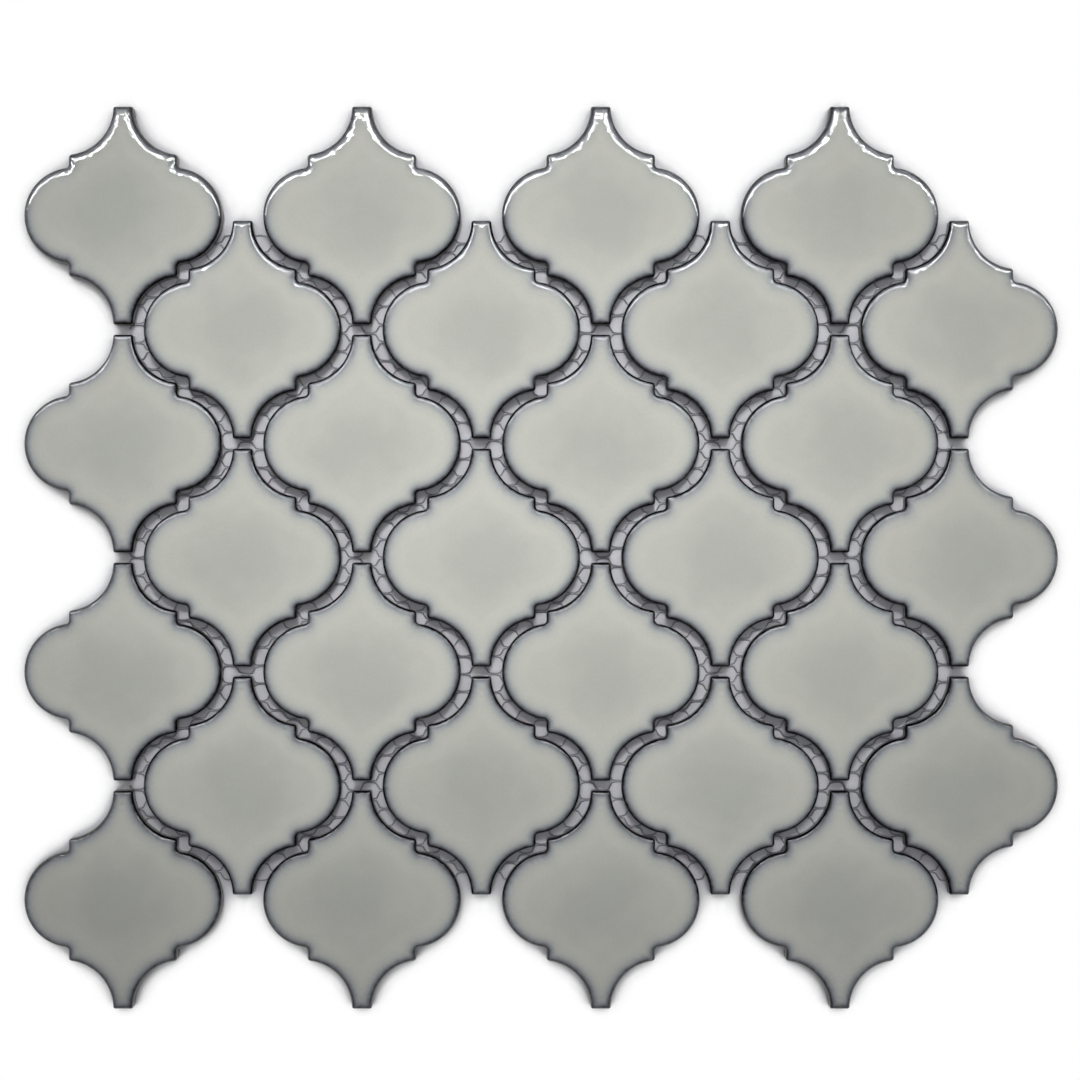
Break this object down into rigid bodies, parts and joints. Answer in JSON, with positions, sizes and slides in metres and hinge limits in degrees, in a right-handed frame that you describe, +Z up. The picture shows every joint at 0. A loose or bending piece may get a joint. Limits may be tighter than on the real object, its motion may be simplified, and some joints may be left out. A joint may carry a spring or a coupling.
{
  "type": "lantern mosaic tile sheet",
  "caption": "Flat sheet of glazed lantern-shaped (arabesque) mosaic tiles in staggered rows with open joints, held by a knitted net glued to their backs.",
  "frame": {"origin": "middle of the sheet, on the underside of the backing net", "axes": "+X along the rows of tiles, +Y along the necks of the tiles, +Z up out of the glazed faces"},
  "size_m": [0.3156, 0.2754, 0.0055],
  "materials": {
    "glaze": "gloss",
    "net": "matte"
  },
  "bodies": {
    "root": {"tile_r1_c1": "glaze", "tile_r1_c2": "glaze", "tile_r1_c3": "glaze", "tile_r1_c4": "glaze", "tile_r2_c1": "glaze", "tile_r2_c2": "glaze", "tile_r2_c3": "glaze", "tile_r2_c4": "glaze", "tile_r3_c1": "glaze", "tile_r3_c2": "glaze", "tile_r3_c3": "glaze", "tile_r3_c4": "glaze", "tile_r4_c1": "glaze", "tile_r4_c2": "glaze", "tile_r4_c3": "glaze", "tile_r4_c4": "glaze", "tile_r5_c1": "glaze", "tile_r5_c2": "glaze", "tile_r5_c3": "glaze", "tile_r5_c4": "glaze", "tile_r6_c1": "glaze", "tile_r6_c2": "glaze", "tile_r6_c3": "glaze", "tile_r6_c4": "glaze", "tile_r7_c1": "glaze", "tile_r7_c2": "glaze", "tile_r7_c3": "glaze", "tile_r7_c4": "glaze", "backing_net_1": "net", "backing_net_2": "net", "backing_net_3": "net", "backing_net_4": "net", "backing_net_5": "net", "backing_net_6": "net", "backing_net_7": "net", "backing_net_8": "net", "backing_net_9": "net"}
  },
  "joints": []
}
